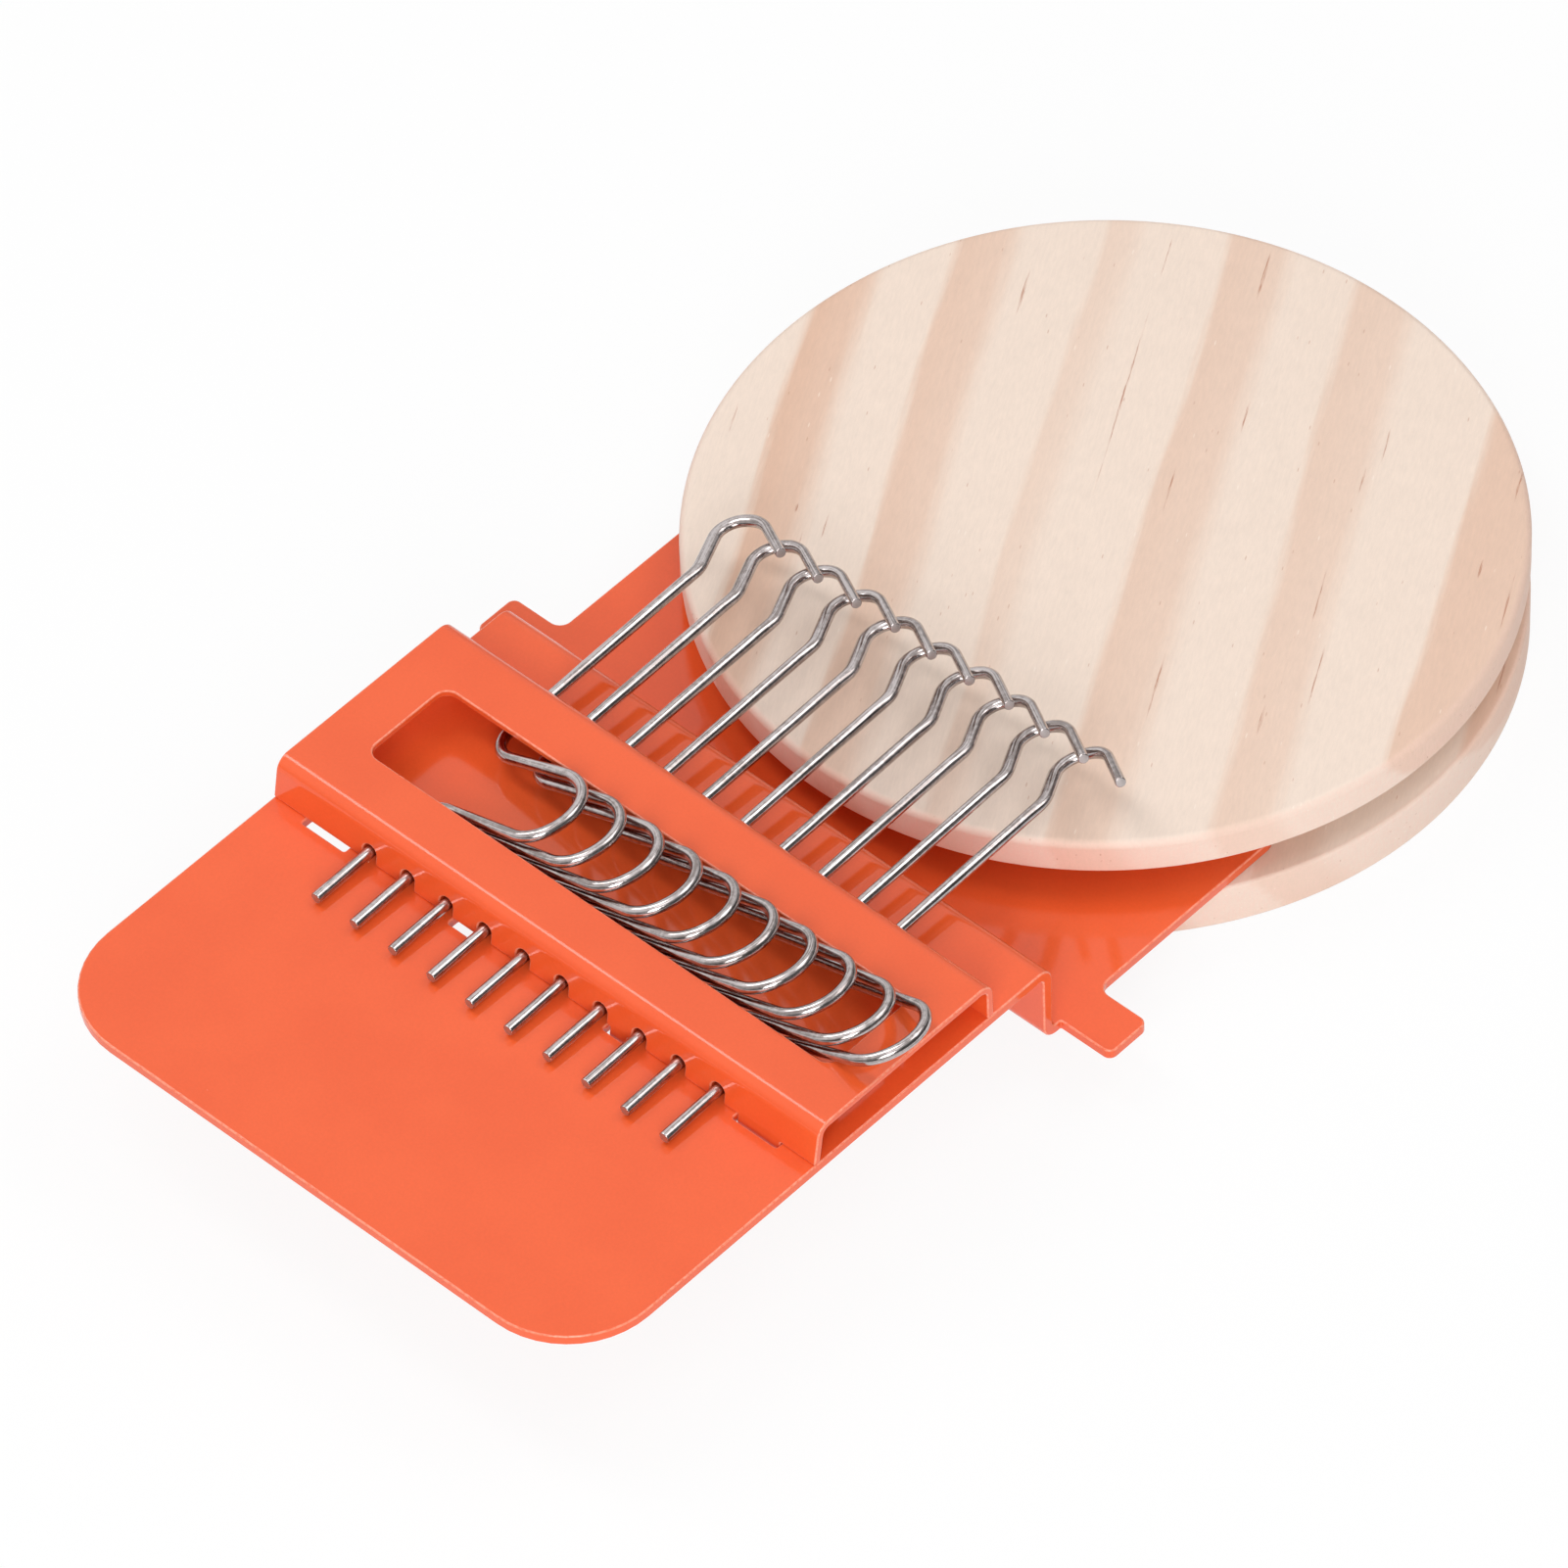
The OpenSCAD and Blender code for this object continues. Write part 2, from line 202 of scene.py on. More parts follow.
def noiseNode(tree, vector, scale, detail=2.0, roughness=0.5):
    inputs = {"Vector": vector, "Scale": scale, "Detail": detail, "Roughness": roughness}
    return addNode(tree, "ShaderNodeTexNoise", inputs).outputs["Fac"]


def specks(tree, place, spacing, size, share, offset):
    # Round dots: the distance to a random point of each cell is under the size, in a few cells only.
    moved = vectorNode(tree, "ADD", place, offset)
    cells = addNode(tree, "ShaderNodeTexVoronoi", {"Vector": moved, "Scale": 1 / spacing})
    dot = smoothRange(tree, cells.outputs["Distance"], size / spacing, size * 0.5 / spacing)
    pick = addNode(tree, "ShaderNodeSeparateColor", {0: cells.outputs["Color"]}).outputs[0]
    return mathNode(tree, "MULTIPLY", dot, mathNode(tree, "LESS_THAN", pick, share))


def millimetres(tree):
    # Object coordinates in millimetres.
    place = addNode(tree, "ShaderNodeTexCoord").outputs["Object"]
    return addNode(tree, "ShaderNodeVectorMath", {0: place, "Scale": 1000.0}, operation="SCALE").outputs[0]


def screenColour(red, green, blue):
    # A colour as seen on a screen, 0 to 255, as the linear colour that a shader takes.
    share = np.array([red, green, blue]) / 255
    linear = np.where(share <= 0.04045, share / 12.92, ((share + 0.055) / 1.055) ** 2.4)
    return (*linear.tolist(), 1.0)


def newMaterial(name):
    material = bpy.data.materials.new(name)
    material.use_nodes = True
    return material, material.node_tree, material.node_tree.nodes["Principled BSDF"]


# Pale pine

pine = {
    "paleColour": screenColour(237, 218, 203),
    "bandColour": screenColour(223, 186, 163),
    "rimColour": screenColour(240, 206, 191),
    "streakColour": screenColour(186, 130, 106),
    "poreColour": screenColour(196, 148, 122),
    "fleckColour": screenColour(250, 236, 224),
    "thickness": 13.5,
    "grainTurn": 29.0,          # degrees between the grain and the loom's own length
    "ringTilt": 0.55,           # how far the growth rings lean through the disc's thickness
    "rings": [                  # across the grain: start, end and strength of each darker ring
        (-34.4, -28.4, 1.00), (-22.3, -16.4, 0.72), (-9.0, -5.2, 0.38),
        (3.6, 10.4, 0.62), (17.5, 24.0, 0.55), (34.0, 48.0, 0.80),
    ],
    "ringSpan": 50.0,           # how far the rings go on to each side of the middle
    "rimFade": (40.7, 41.2),    # radii between which the rim's end grain sets in
    "coreFade": (35.0, 34.0),   # radii between which painted shade darkens the groove's core
    "grooveHeight": 7.35,       # of the groove's middle
    "grooveShadeFade": (2.4, 2.0),   # distances from that height where the painted shade ends
    "streakWidth": 0.75,
    "streaks": [                # brown marks: place across and along the grain, length and width
        (-2.0, -17.0, 28.0, 0.15), (8.0, -35.8, 7.6, 0.22), (-14.7, -28.7, 7.0, 0.20),
        (24.5, -16.0, 5.0, 0.18), (23.2, -11.0, 4.0, 0.16), (22.3, 5.0, 8.0, 0.16),
        (24.2, 15.0, 8.5, 0.18), (20.2, 21.7, 4.5, 0.18), (10.3, -17.0, 5.0, 0.18),
        (5.1, -6.3, 7.5, 0.16), (9.4, 19.4, 10.0, 0.16), (38.2, -13.6, 5.0, 0.20),
        (36.8, -2.0, 3.0, 0.20), (40.2, 2.0, 10.0, 0.18), (-38.6, -6.3, 4.5, 0.22),
        (-26.5, 5.8, 3.9, 0.18), (-28.4, 7.8, 1.8, 0.16), (-29.8, 4.1, 1.4, 0.14),
        (-1.9, -36.5, 7.0, 0.12),
    ],
}


def grainSpace(tree, across, along, height, drawn):
    # Coordinates that run slowly along the grain, so a pattern on them is drawn out that way.
    return addNode(tree, "ShaderNodeCombineXYZ",
                   {0: across, 1: mathNode(tree, "MULTIPLY", along, drawn), 2: height}).outputs[0]


def swing(tree, value, amount):
    # Noise from 0 to 1 as a shift of up to half the amount to either side.
    return mathNode(tree, "MULTIPLY", mathNode(tree, "SUBTRACT", value, 0.5), amount)


def growthRings(tree, ringPlace):
    # A colour ramp across the grain: each ring starts sharply and fades out.
    span = pine["ringSpan"]
    ramp = addNode(tree, "ShaderNodeValToRGB", {0: plainRange(tree, ringPlace, -span, span)})
    ramp.color_ramp.interpolation = "EASE"
    elements = ramp.color_ramp.elements
    elements[0].color = elements[1].color = (0, 0, 0, 1)
    for start, end, strength in pine["rings"]:
        for at, level in ((start - 0.5, 0), (start + 0.5, 1), (end - 2.2, 0.85), (end + 0.8, 0)):
            stop = elements.new((at + span) / (2 * span))
            stop.color = (level * strength, level * strength, level * strength, 1)
    return ramp.outputs[0]


def brownStreaks(tree, across, along, fibre, breaks):
    # Each mark is a thin ellipse, (side / width)^2 + (on / half length)^2 < 1, that wanders a
    # little with the fibres and breaks up in places.
    marks = None
    wandering = mathNode(tree, "ADD", across, swing(tree, fibre, 0.4))
    for s, t, length, width in pine["streaks"]:
        side = mathNode(tree, "DIVIDE", mathNode(tree, "SUBTRACT", wandering, s), width * pine["streakWidth"])
        on = mathNode(tree, "DIVIDE", mathNode(tree, "SUBTRACT", along, t), length / 2)
        far = mathNode(tree, "ADD", mathNode(tree, "POWER", side, 2.0), mathNode(tree, "POWER", on, 2.0))
        mark = smoothRange(tree, far, 1.0, 0.1)
        marks = mark if marks is None else mathNode(tree, "MAXIMUM", marks, mark)
    return mathNode(tree, "MULTIPLY", marks, smoothRange(tree, breaks, 0.4, 0.6, 0.15, 0.85))


def pineMaterial():
    # Colour follows the distance across the grain. Fibres, pores and flecks are patterns drawn out
    # along the grain, and the rim shows the fibres' ends. The groove's core gets painted shade.
    material, tree, shader = newMaterial("palePine")
    place = millimetres(tree)
    turn = math.radians(pine["grainTurn"])
    across = vectorNode(tree, "DOT_PRODUCT", place, (math.cos(turn), math.sin(turn), 0))
    along = vectorNode(tree, "DOT_PRODUCT", place, (math.sin(turn), -math.cos(turn), 0))
    height = addNode(tree, "ShaderNodeSeparateXYZ", {0: place}).outputs[2]
    fibrePlace = grainSpace(tree, across, along, height, 0.05)
    dashPlace = grainSpace(tree, across, along, height, 0.22)

    lean = mathNode(tree, "MULTIPLY", mathNode(tree, "SUBTRACT", height, pine["thickness"]), pine["ringTilt"])
    sway = swing(tree, noiseNode(tree, grainSpace(tree, across, along, height, 0.3), 0.06, 1.0), 4.0)
    fray = swing(tree, noiseNode(tree, fibrePlace, 1.4, 3.0), 1.3)
    ringPlace = mathNode(tree, "ADD", across, lean)
    for shift in (sway, fray):
        ringPlace = mathNode(tree, "ADD", ringPlace, shift)
    rings = growthRings(tree, ringPlace)
    colour = mixColours(tree, rings, pine["paleColour"], pine["bandColour"])

    fibre = noiseNode(tree, fibrePlace, 7.0, 4.0, 0.65)
    cloud = noiseNode(tree, place, 0.35, 3.0)
    mottle = noiseNode(tree, dashPlace, 3.2, 5.0, 0.75)
    tone = mathNode(tree, "ADD", swing(tree, fibre, 0.08), swing(tree, cloud, 0.06))
    tone = mathNode(tree, "ADD", mathNode(tree, "ADD", tone, swing(tree, mottle, 0.20)), 1.0)
    colour = vectorNode(tree, "MULTIPLY", colour,
                        addNode(tree, "ShaderNodeCombineXYZ", {0: tone, 1: tone, 2: tone}).outputs[0])

    radius = vectorNode(tree, "LENGTH", vectorNode(tree, "MULTIPLY", place, (1, 1, 0)))
    rim = smoothRange(tree, radius, *pine["rimFade"])
    # The mask inside marks the groove's core, where shade is painted into the colour.
    fromMiddle = mathNode(tree, "ABSOLUTE", mathNode(tree, "SUBTRACT", height, pine["grooveHeight"]))
    inside = mathNode(tree, "MULTIPLY", smoothRange(tree, radius, *pine["coreFade"]),
                      smoothRange(tree, fromMiddle, *pine["grooveShadeFade"]))
    endGrain = noiseNode(tree, vectorNode(tree, "MULTIPLY", place, (1.0, 1.0, 0.3)), 4.0, 4.0, 0.65)
    rimShare = mathNode(tree, "MULTIPLY", rim, smoothRange(tree, endGrain, 0.35, 0.7, 0.25, 0.6))
    colour = mixColours(tree, rimShare, colour, pine["rimColour"])
    # Painted shade: the groove's core is mixed halfway towards the band colour.
    colour = mixColours(tree, mathNode(tree, "MULTIPLY", inside, 0.5), colour, pine["bandColour"])

    pores = specks(tree, dashPlace, 0.62, 0.085, 0.16, (0, 0, 0))
    flecks = specks(tree, dashPlace, 0.7, 0.10, 0.12, (13, 7, 3))
    dots = specks(tree, vectorNode(tree, "MULTIPLY", place, (1.0, 1.0, 0.6)), 0.8, 0.11, 0.3, (5, 11, 2))
    marks = brownStreaks(tree, across, along, fibre, noiseNode(tree, fibrePlace, 9.0, 2.0))
    colour = mixColours(tree, mathNode(tree, "MULTIPLY", flecks, 0.45), colour, pine["fleckColour"])
    colour = mixColours(tree, mathNode(tree, "MULTIPLY", pores, 0.5), colour, pine["poreColour"])
    colour = mixColours(tree, mathNode(tree, "MULTIPLY", mathNode(tree, "MULTIPLY", dots, rim), 0.6),
                        colour, pine["poreColour"])
    colour = mixColours(tree, marks, colour, pine["streakColour"])
    tree.links.new(colour, shader.inputs["Base Color"])
    tree.links.new(smoothRange(tree, mottle, 0.3, 0.7, 0.5, 0.65), shader.inputs["Roughness"])
    fibreEnds = mathNode(tree, "MULTIPLY", rim, endGrain)
    sunk = mathNode(tree, "ADD", marks, mathNode(tree, "MULTIPLY", pores, 0.5))
    relief = mathNode(tree, "SUBTRACT", mathNode(tree, "ADD", mottle, fibreEnds), sunk)
    bump = addNode(tree, "ShaderNodeBump", {"Strength": 0.3, "Distance": 0.00003, "Height": relief})
    tree.links.new(bump.outputs[0], shader.inputs["Normal"])
    shader.inputs["Specular IOR Level"].default_value = 0.3
    return material


# Orange coat

coat = {
    "colour": screenColour(240, 97, 49),
    "deepColour": screenColour(236, 93, 46),
    "darkSpeck": screenColour(110, 40, 26),
    "paleSpeck": screenColour(255, 190, 160),
    # pale rim colour: partly worn paint, partly a painted highlight
    "edgeWearAndHighlightColour": screenColour(252, 172, 144),
    "speckSize": 0.08,          # millimetres
    "roughness": 0.1,
}


def coatMaterial():
    # Gloss paint on sheet steel: an even colour with slow clouds and a fine grain, a faint
    # orange-peel relief and a few specks of dust. Pale where the attribute roundedRim is 1, on
    # the two round rims of each cut edge: partly worn paint and partly a painted highlight.
    material, tree, shader = newMaterial("orangeCoat")
    place = millimetres(tree)
    cloud = noiseNode(tree, place, 0.1, 3.0)
    fine = noiseNode(tree, place, 2.4, 3.0)
    colour = mixColours(tree, smoothRange(tree, cloud, 0.3, 0.7), coat["colour"], coat["deepColour"])
    tone = mathNode(tree, "ADD", swing(tree, noiseNode(tree, place, 3.5, 2.0), 0.10), 1.0)
    colour = addNode(tree, "ShaderNodeVectorMath", {0: colour, "Scale": tone}, operation="SCALE").outputs[0]
    roundedRim = addNode(tree, "ShaderNodeAttribute", attribute_name="roundedRim").outputs["Fac"]
    # Painted highlight, partly worn paint: the rounded rims are mixed towards a pale colour.
    wornAndHighlit = mathNode(tree, "MULTIPLY", roundedRim, smoothRange(tree, fine, 0.3, 0.6, 0.25, 0.7))
    colour = mixColours(tree, wornAndHighlit, colour, coat["edgeWearAndHighlightColour"])
    dark = specks(tree, place, 3.0, coat["speckSize"], 0.05, (0, 0, 0))
    pale = specks(tree, place, 2.8, coat["speckSize"], 0.05, (31, 17, 5))
    colour = mixColours(tree, dark, colour, coat["darkSpeck"])
    colour = mixColours(tree, pale, colour, coat["paleSpeck"])
    tree.links.new(colour, shader.inputs["Base Color"])
    tree.links.new(smoothRange(tree, fine, 0.3, 0.7, coat["roughness"] - 0.02, coat["roughness"] + 0.03),
                   shader.inputs["Roughness"])
    grains = mathNode(tree, "MULTIPLY", mathNode(tree, "ADD", dark, pale), 0.6)
    relief = mathNode(tree, "ADD", noiseNode(tree, place, 0.9, 2.0), grains)
    bump = addNode(tree, "ShaderNodeBump", {"Strength": 0.15, "Distance": 0.00002, "Height": relief})
    tree.links.new(bump.outputs[0], shader.inputs["Normal"])
    return material


# Drawn steel wire

steel = {
    "colour": screenColour(200, 192, 191),
    "darkColour": screenColour(148, 138, 135),
    "endColour": screenColour(190, 182, 180),
    "roughness": 0.16,
    "endRoughness": 0.45,
    "lineShare": 0.7,           # of the drawing lines in the pattern, the rest is blotches
}


def steelMaterial(name, colour, darkColour, roughness):
    # Bare drawn wire: the attribute wireGrain holds (cos, sin) round the wire and the way along
    # it, so noise on it makes long drawing lines. Fine blotches lie over them.
    material, tree, shader = newMaterial(name)
    grain = addNode(tree, "ShaderNodeAttribute", attribute_name="wireGrain").outputs["Vector"]
    place = millimetres(tree)
    lines = noiseNode(tree, vectorNode(tree, "MULTIPLY", grain, (1.7, 1.7, 0.06)), 2.2, 4.0, 0.6)
    blotch = noiseNode(tree, place, 1.6, 4.0, 0.6)
    drawn = mathNode(tree, "MULTIPLY", lines, steel["lineShare"])
    share = mathNode(tree, "ADD", drawn, mathNode(tree, "MULTIPLY", blotch, 1 - steel["lineShare"]))
    tree.links.new(mixColours(tree, smoothRange(tree, share, 0.40, 0.58), darkColour, colour),
                   shader.inputs["Base Color"])
    tree.links.new(smoothRange(tree, blotch, 0.3, 0.7, roughness - 0.04, roughness + 0.05),
                   shader.inputs["Roughness"])
    shader.inputs["Metallic"].default_value = 1.0
    relief = mathNode(tree, "ADD", lines, mathNode(tree, "MULTIPLY", noiseNode(tree, place, 7.0, 3.0), 0.4))
    bump = addNode(tree, "ShaderNodeBump", {"Strength": 0.15, "Distance": 0.00002, "Height": relief})
    tree.links.new(bump.outputs[0], shader.inputs["Normal"])
    return material


pineWood = pineMaterial()
orangeCoat = coatMaterial()
steelWire = steelMaterial("drawnSteel", steel["colour"], steel["darkColour"], steel["roughness"])
steelEnd = steelMaterial("sawnSteel", steel["endColour"], steel["colour"], steel["endRoughness"])
print("loom: the finishes are made")


# The wooden disc

disc = {
    "radius": 41.4,
    "lowerFlange": 5.2,
    "upperFlange": 4.0,
    "grooveWidth": 4.3,
    "grooveDepth": 7.4,
    "rimRounding": 0.8,
    "edgeRounding": 0.4,
    "grooveFillet": 0.35,
    "sides": 320,
    "wobble": 0.03,             # three slow waves round the rim
    "ripple": 0.02,             # seven quicker ones
    "wobbleStart": 36.0,        # radius from which the rim is uneven
    "wobbleRun": 5.0,
}


def turnedDisc():
    # The profile runs from the middle of the underside round the two flanges to the middle of the
    # top. Turned about the axis, a point (r, z) becomes (r cos a, r sin a, z), and near the rim r
    # grows by wobble sin(3 a + 0.7) + ripple sin(7 a + 2.1).
    e, top, f = disc["edgeRounding"], disc["rimRounding"], disc["grooveFillet"]
    quarter = math.pi / 2
    profile = [
        (disc["radius"] - e, e, quarter), (disc["lowerFlange"] - 2 * e, e, quarter),
        (disc["grooveDepth"] - e - f, f, -quarter), (disc["grooveWidth"] - 2 * f, f, -quarter),
        (disc["grooveDepth"] - e - f, e, quarter), (disc["upperFlange"] - e - top, top, quarter),
        (disc["radius"] - top, 0, 0),
    ]
    stations = pathStations(profile, 2.0, math.radians(11))[1:-1]
    places, headings = followPath(profile, (0, 0), 0.0, stations)
    angle = np.arange(disc["sides"]) / disc["sides"] * 2 * math.pi
    wobble = disc["wobble"] * np.sin(3 * angle + 0.7) + disc["ripple"] * np.sin(7 * angle + 2.1)
    outer = np.clip((places[:, :1] - disc["wobbleStart"]) / disc["wobbleRun"], 0, 1) * wobble
    r = places[:, :1] + outer
    points = np.stack([r * np.cos(angle), r * np.sin(angle), np.repeat(places[:, 1:], len(angle), 1)], -1)
    out, up = np.sin(headings)[:, None], -np.cos(headings)[:, None]
    normals = np.stack([out * np.cos(angle), out * np.sin(angle), up * np.ones_like(angle)], -1)
    rows, sides = points.shape[:2]
    height = disc["lowerFlange"] + disc["grooveWidth"] + disc["upperFlange"]
    points = np.concatenate([points.reshape(-1, 3), [[0, 0, 0], [0, 0, height]]])
    normals = np.concatenate([normals.reshape(-1, 3), [[0, 0, -1], [0, 0, 1]]])
    j = np.arange(sides)
    k = (j + 1) % sides
    last = (rows - 1) * sides
    fans = np.concatenate([np.stack([k, j, np.full(sides, rows * sides)], 1),
                           np.stack([last + j, last + k, np.full(sides, rows * sides + 1)], 1)])
    return makePiece("wooden_disc", points, normals, gridQuads(rows, sides), fans, pineWood)


woodenDisc = turnedDisc()
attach(woodenDisc, "darning_disc")
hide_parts("darning_disc")
print("loom: the disc is turned")


# Sheet metal

edge = {"radius": 0.2, "steps": 5, "corner": 0.25}


def loopNormals(loop):
    # Direction out of the material at each point, and how much further a corner lies out.
    ahead = np.roll(loop, -1, 0) - loop
    ahead /= np.linalg.norm(ahead, axis=1, keepdims=True)
    side = np.stack([ahead[:, 1], -ahead[:, 0]], 1)
    both = side + np.roll(side, 1, 0)
    out = both / np.linalg.norm(both, axis=1, keepdims=True)
    return out, 1 / np.clip((out * side).sum(1, keepdims=True), 0.5, 1)


def insideLoops(points, loops):
    # A point lies inside where a ray along x crosses the loops an odd number of times.
    crossings = np.zeros(len(points), int)
    for loop in loops:
        a, b = loop, np.roll(loop, -1, 0)
        y = points[:, 1:2]
        spans = (a[:, 1] > y) != (b[:, 1] > y)
        slope = (b[:, 0] - a[:, 0]) / np.where(b[:, 1] == a[:, 1], 1, b[:, 1] - a[:, 1])
        crossings += (spans & (points[:, :1] < a[:, 0] + (y - a[:, 1]) * slope)).sum(1)
    return crossings % 2 == 1


def sheetPiece(name, thickness, loops, bendRows, section, start, heading, material):
    # A flat cut-out (x, v) bent along a section. Its rim is rounded by rings at an inward offset
    # r - r cos f and a height r sin f. A point then goes to the section's place at v, moved by its
    # height w along the section's normal (-sin h, cos h).
    half, r = thickness / 2, edge["radius"]
    f = np.linspace(math.pi / 2, 0, edge["steps"])
    inward = np.concatenate([r - r * np.cos(f), r - r * np.cos(-f[::-1])])
    height = np.concatenate([half - r + r * np.sin(f), -half + r - r * np.sin(f[::-1])])
    tilt = np.concatenate([f, -f[::-1]])
    flat, offsets, tilts, normals, quads, upper, lower, gone = [], [], [], [], [], [], [], 0
    for loop in loops:
        out, corner = loopNormals(loop)
        rings = loop - (out * corner) * inward[:, None, None]
        count = len(loop)
        flat.append(rings.reshape(-1, 2))
        offsets.append(np.repeat(height, count))
        tilts.append(np.repeat(tilt, count))
        normals.append(np.concatenate([np.cos(tilt)[:, None, None] * out,
                                       np.broadcast_to(np.sin(tilt)[:, None, None], (len(tilt), count, 1))],
                                      -1).reshape(-1, 3))
        quads.append(gone + gridQuads(len(tilt), count)[:, ::-1])
        upper.append(gone + np.arange(count))
        lower.append(gone + (len(tilt) - 1) * count + np.arange(count))
        gone += len(tilt) * count
    flat, offsets, normals = np.concatenate(flat), np.concatenate(offsets), np.concatenate(normals)

    outlines = [flat[u] for u in upper]
    corners = np.concatenate(outlines)
    links, first = [], 0
    for u in upper:
        ring = first + np.arange(len(u))
        links += np.stack([ring, np.roll(ring, -1)], 1).tolist()
        first += len(u)
    for row in bendRows:
        on = np.flatnonzero(np.abs(corners[:, 1] - row) < 1e-6)
        links.append([int(on[corners[on, 0].argmin()]), int(on[corners[on, 0].argmax()])])
    filled = delaunay_2d_cdt([Vector(p) for p in corners], links, [], 0, 1e-7)
    source = np.array([ids[0] for ids in filled[3]])
    triangles = source[np.array(filled[2])]
    triangles = triangles[insideLoops(corners[triangles].mean(1), outlines)]
    upper, lower = np.concatenate(upper), np.concatenate(lower)
    fills = np.concatenate([upper[triangles], lower[triangles[:, ::-1]]])

    place, direction = followPath(section, start, heading, flat[:, 1] - loops[0][:, 1].min())
    along = np.stack([np.zeros(len(flat)), np.cos(direction), np.sin(direction)], 1)
    above = np.stack([np.zeros(len(flat)), -np.sin(direction), np.cos(direction)], 1)
    points = np.stack([flat[:, 0], place[:, 0], place[:, 1]], 1) + offsets[:, None] * above
    points += bridgeFoot
    shading = normals[:, :1] * [1, 0, 0] + normals[:, 1:2] * along + normals[:, 2:] * above
    piece = makePiece(name, points, shading, np.concatenate(quads), fills, material)
    # roundedRim is strongest halfway round each rounded rim, where the coat paints pale highlight lines.
    rims = np.sin(2 * np.abs(np.concatenate(tilts))).astype(np.float32)
    piece.data.attributes.new("roundedRim", "FLOAT", "POINT").data.foreach_set("value", rims)
    return piece


# The base plate

plate = {
    "thickness": 1.2,
    "width": 70.0,
    "apronLength": 32.75,
    "apronCorner": 10.0,
    "upperBend": 31.4,          # where the step starts to bend, from the bridge's foot
    "lowerBend": 33.8,          # where the lower part lies flat
    "stepHeight": 9.0,
    "bendRadius": 1.2,          # of the middle of the sheet
    "earFront": 34.3,
    "earRear": 39.7,
    "earEnd": 41.3,
    "earCorner": 0.9,
    "earFillet": 1.3,
    "earRoot": 0.15,            # the sharper inner corner at the ear's front
    "prongEnd": 66.0,
    "prongCorner": 2.0,
    "seatRadius": 34.3,
    "slots": [(-27.9, 5.6), (-10.0, 3.0), (10.0, 3.0), (27.9, 5.6)],
    "slotRows": [(-0.6, 0.9), (24.1, 25.6)],
}


def basePlate():
    # Outline in the flat, the way round with the metal on its left. Behind the step its distances
    # are longer than in plan by what the step takes up.
    half, quarter = plate["width"] / 2, math.pi / 2
    r = plate["bendRadius"]
    drop = plate["stepHeight"] - 2 * r
    bends = np.linspace(0, r * quarter, 8)
    rows = plate["upperBend"] + np.concatenate([bends, r * quarter + drop + bends])
    longer = rows[-1] - plate["lowerBend"]
    a, b = plate["earFront"] + longer, plate["earRear"] + longer
    end, middle = plate["prongEnd"] + longer, loom["discDistance"] + longer
    seat = plate["seatRadius"]
    spread = math.asin((middle - end) / seat)
    seatAngle = np.linspace(-spread, spread - math.pi, 121)
    seatLine = np.stack([seat * np.cos(seatAngle), middle + seat * np.sin(seatAngle)], 1)
    rightSide = np.stack([np.full(len(rows), half), rows], 1)
    corners = np.concatenate([
        [[half, -plate["apronLength"]]], rightSide,
        [[half, a], [plate["earEnd"], a], [plate["earEnd"], b], [half, b], [half, end]],
        seatLine,
        [[-half, end], [-half, b], [-plate["earEnd"], b], [-plate["earEnd"], a], [-half, a]],
        rightSide[::-1] * [-1, 1], [[-half, -plate["apronLength"]]],
    ])
    radii = np.concatenate([
        [plate["apronCorner"]], np.zeros(len(rows)),
        [plate["earRoot"], plate["earCorner"], plate["earCorner"], plate["earFillet"]],
        [plate["prongCorner"]],
        [edge["corner"]], np.zeros(len(seatLine) - 2), [edge["corner"]],
        [plate["prongCorner"]],
        [plate["earFillet"], plate["earCorner"], plate["earCorner"], plate["earRoot"]],
        np.zeros(len(rows)), [plate["apronCorner"]],
    ])
    loops = [roundCorners(corners, radii, 12)]
    for middleX, length in plate["slots"]:
        for front, back in plate["slotRows"]:
            x0, x1 = middleX - length / 2, middleX + length / 2
            slot = [[x0, front], [x0, back], [x1, back], [x1, front]]
            loops.append(roundCorners(slot, edge["corner"], 5))
    section = [
        (plate["apronLength"] + plate["upperBend"], r, -quarter), (drop, r, quarter),
        (plate["prongEnd"], 0, 0),
    ]
    return sheetPiece("coated_plate", plate["thickness"], loops, rows, section,
                      (-plate["apronLength"], -plate["thickness"] / 2), 0.0, orangeCoat)


coatedPlate = basePlate()
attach(coatedPlate, "hook_frame")
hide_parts("base_plate")
print("loom: the base plate is bent")


# The hook bridge

bridge = {
    "thickness": 0.8,
    "height": 4.8,
    "depth": 25.0,
    "lean": 0.8,                # how far the front wall leans back over its height
    "bendRadius": 1.3,          # of the middle of the sheet
    "windowX": (-29.2, 30.5),
    "windowY": (7.1, 18.15),
    "windowCorner": 1.4,
    "archHalf": 0.85,
    "tabLength": 1.15,
    "tabRoot": 0.15,
    "tabs": [(-27.9, 5.4), (-10.0, 2.3), (10.0, 2.3), (27.9, 5.4)],
    "shankHole": 0.72,
}


